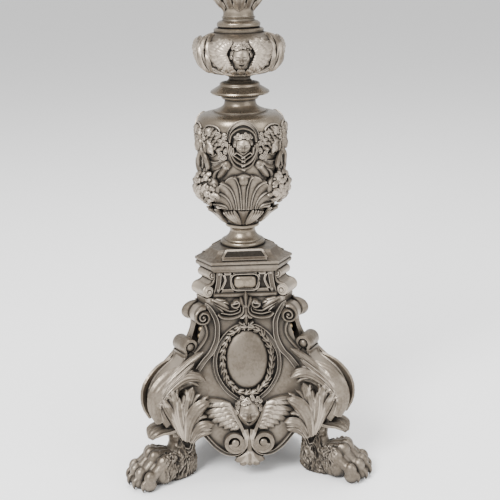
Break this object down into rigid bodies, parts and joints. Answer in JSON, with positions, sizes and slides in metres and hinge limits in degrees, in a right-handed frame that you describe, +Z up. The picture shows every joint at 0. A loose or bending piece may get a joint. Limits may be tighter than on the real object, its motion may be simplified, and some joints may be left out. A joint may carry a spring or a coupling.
{
  "type": "altar candlestick",
  "caption": "Tall baroque altar candlestick with a three-sided scrolled base on lion's paws, a turned stem with cherub masks, and a pricket over a loose drip pan.",
  "frame": {"origin": "on the stem's axis, at the level of the floor that the three paws stand on", "axes": "+Z up along the stem and the pricket; -Y square out of one side of the base; +Y towards one foot"},
  "size_m": [0.2196, 0.195, 0.786],
  "materials": {
    "cast_silvered_brass": "cast and chased, silvered, dark patina in the recesses",
    "turned_silvered_brass": "turned, silvered, worn satin",
    "iron_hardware": "black iron",
    "brass_fasteners": "dull brass",
    "steel_spike": "grey steel"
  },
  "bodies": {
    "candlestick": {"bridge_plate": "iron_hardware", "collar_disc": "turned_silvered_brass", "corner_bolts": "brass_fasteners", "corner_nuts": "brass_fasteners", "corner_volute_left": "cast_silvered_brass", "corner_volute_rear": "cast_silvered_brass", "corner_volute_right": "cast_silvered_brass", "cornice": "cast_silvered_brass", "die_cabochons": "cast_silvered_brass", "foot_screws": "brass_fasteners", "knop_body": "cast_silvered_brass", "knop_neck": "turned_silvered_brass", "knop_ring": "turned_silvered_brass", "laurel_wreath_front": "cast_silvered_brass", "laurel_wreath_left": "cast_silvered_brass", "laurel_wreath_right": "cast_silvered_brass", "leg_scroll_left": "cast_silvered_brass", "leg_scroll_rear": "cast_silvered_brass", "leg_scroll_right": "cast_silvered_brass", "lower_neck": "turned_silvered_brass", "medallion_front": "cast_silvered_brass", "medallion_left": "cast_silvered_brass", "medallion_right": "cast_silvered_brass", "pan_cup": "turned_silvered_brass", "paw_foot_left": "cast_silvered_brass", "paw_foot_rear": "cast_silvered_brass", "paw_foot_right": "cast_silvered_brass", "plinth_die": "cast_silvered_brass", "pricket": "steel_spike", "side_panel_front": "cast_silvered_brass", "side_panel_left": "cast_silvered_brass", "side_panel_right": "cast_silvered_brass", "stem_disc": "turned_silvered_brass", "stem_shaft": "turned_silvered_brass", "tie_rod": "iron_hardware", "tie_rod_nut": "iron_hardware", "tie_rod_washer": "iron_hardware", "upper_knop": "turned_silvered_brass", "vase_body": "cast_silvered_brass", "winged_head_front": "cast_silvered_brass", "winged_head_left": "cast_silvered_brass", "winged_head_right": "cast_silvered_brass"},
    "drip_pan": {"drip_pan": "turned_silvered_brass"}
  },
  "joints": [
    {"name": "drip_pan_lift", "type": "slide", "parent": "candlestick", "child": "drip_pan", "axis": [0, 0, 1], "range_m": [0, 0.1]}
  ]
}
